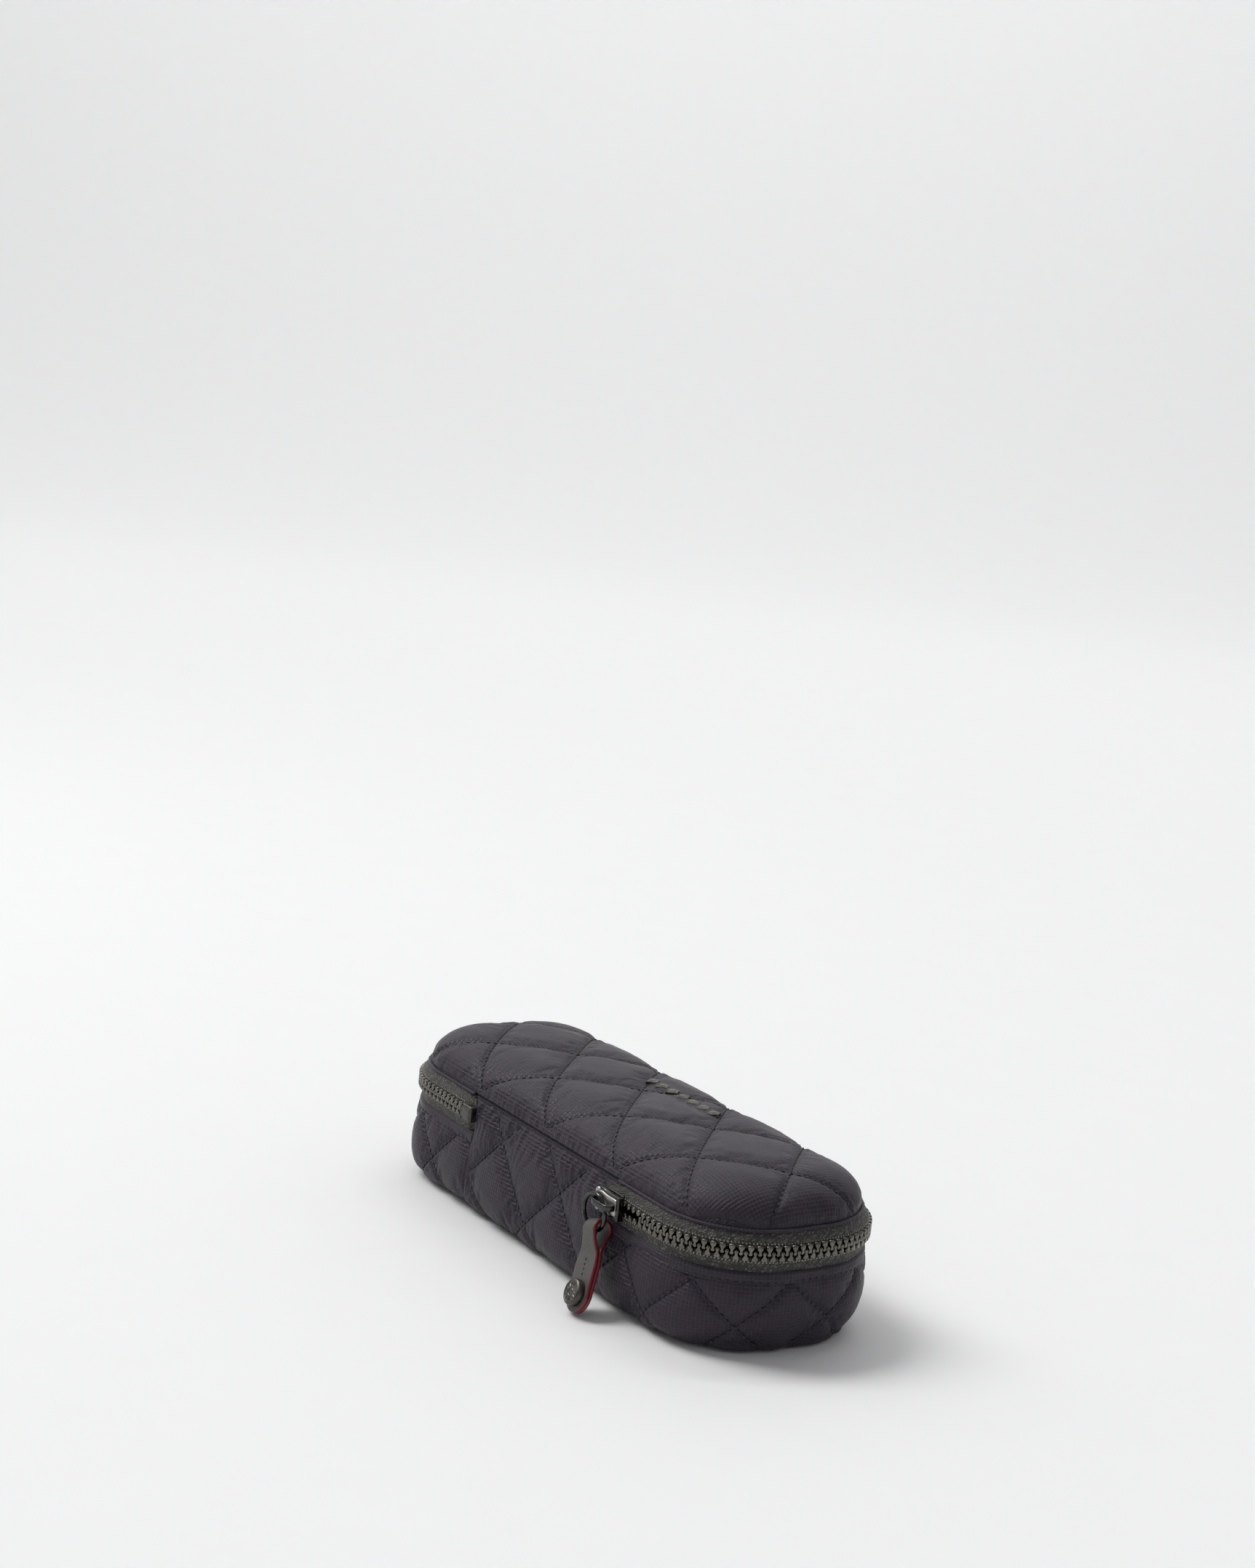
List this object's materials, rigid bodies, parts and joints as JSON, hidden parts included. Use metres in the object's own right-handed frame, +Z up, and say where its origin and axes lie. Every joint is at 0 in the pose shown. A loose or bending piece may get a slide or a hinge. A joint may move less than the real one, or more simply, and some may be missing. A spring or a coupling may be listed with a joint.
{
  "type": "jewellery case",
  "caption": "Soft quilted jewellery case with a domed lid, a zip round three sides, a slider with a ring and a folded leather pull, and a padded inside with dividers and ring rolls.",
  "frame": {"origin": "middle of the base where it rests", "axes": "+X along the case, +Y to the hinge side, +Z up"},
  "size_m": [0.194, 0.0867, 0.0499],
  "materials": {
    "quilted_nylon": "satin quilted ripstop nylon",
    "lining": "fine faille lining",
    "zip_tape": "woven zip tape",
    "gunmetal": "dark plated metal",
    "board": "stiffening board",
    "foam": "foam",
    "leather": "smooth leather with painted edges",
    "thread": "sewing thread"
  },
  "bodies": {
    "base": {"bottom_panel": "quilted_nylon", "side_wall": "quilted_nylon", "hinge_panel": "quilted_nylon", "wall_binding": "quilted_nylon", "bottom_board": "board", "floor_lining": "lining", "side_lining": "lining", "lower_tape": "zip_tape", "lower_teeth": "gunmetal", "lower_top_stop": "gunmetal", "zip_box": "gunmetal", "hinge_welt": "quilted_nylon", "cross_divider_left": "lining", "cross_divider_right": "lining", "long_divider": "lining", "ring_roll_front": "lining", "ring_roll_rear": "lining", "side_pocket": "lining", "pocket_stud": "gunmetal"},
    "lid": {"lid_panel": "quilted_nylon", "lid_foam": "foam", "lid_lining": "lining", "lid_piping": "quilted_nylon", "upper_tape": "zip_tape", "upper_teeth": "gunmetal", "upper_top_stop": "gunmetal", "emblem_studs": "gunmetal", "lid_pocket": "lining", "lid_pocket_elastic": "lining"},
    "pocket_flap": {"pocket_flap": "leather", "pocket_snap_cap": "gunmetal"},
    "slider": {"slider": "gunmetal"},
    "ring": {"pull_ring": "gunmetal"},
    "pull": {"pull_leather": "leather", "pull_stitching": "thread", "rivet_cap": "gunmetal", "rivet_back": "gunmetal"}
  },
  "joints": [
    {"name": "lid_hinge", "type": "hinge", "parent": "base", "child": "lid", "pos_m": [0, 0.0358, 0.037], "axis": [-1, 0, 0], "range_deg": [0, 130]},
    {"name": "slider_travel", "type": "slide", "parent": "base", "child": "slider", "axis": [-1, 0, 0], "range_m": [0, 0.014]},
    {"name": "ring_swing", "type": "hinge", "parent": "slider", "child": "ring", "pos_m": [-0.0445, 0.0388, 0.0316], "axis": [0.6909, 0, 0.7229], "range_deg": [0, 45]},
    {"name": "pull_swing", "type": "hinge", "parent": "ring", "child": "pull", "pos_m": [-0.04222, 0.0388, 0.02257], "axis": [0.9511, 0, -0.309], "range_deg": [0, 50]},
    {"name": "pocket_flap_hinge", "type": "hinge", "parent": "base", "child": "pocket_flap", "pos_m": [-0.005, -0.0287, 0.0235], "axis": [1, 0, 0], "range_deg": [0, 85]}
  ]
}
